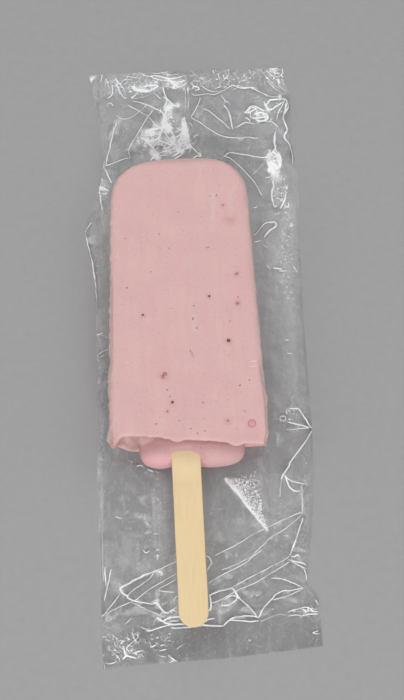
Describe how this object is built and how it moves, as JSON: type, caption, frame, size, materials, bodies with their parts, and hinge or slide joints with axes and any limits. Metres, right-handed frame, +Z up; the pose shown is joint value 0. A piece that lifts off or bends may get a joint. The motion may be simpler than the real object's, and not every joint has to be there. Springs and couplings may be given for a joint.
{
  "type": "ice pop on its opened clear wrapper",
  "caption": "Pink fruit-cream ice pop on a flat wooden stick, lying face up on its emptied, crinkled clear film bag.",
  "frame": {"origin": "middle of the bag's flat underside, which lies on the surface", "axes": "+Y along the pop from its stick to its tip, +X across it, +Z up out of the face that is shown"},
  "size_m": [0.0792, 0.218, 0.0258],
  "materials": {
    "frozen_cream": "frosty matt frozen fruit cream with fine dark specks",
    "birch_wood": "bare smooth birch",
    "clear_film": "clear glossy crinkled film"
  },
  "bodies": {
    "root": {"ice_body": "frozen_cream", "stick": "birch_wood", "wrapper": "clear_film"}
  },
  "joints": []
}
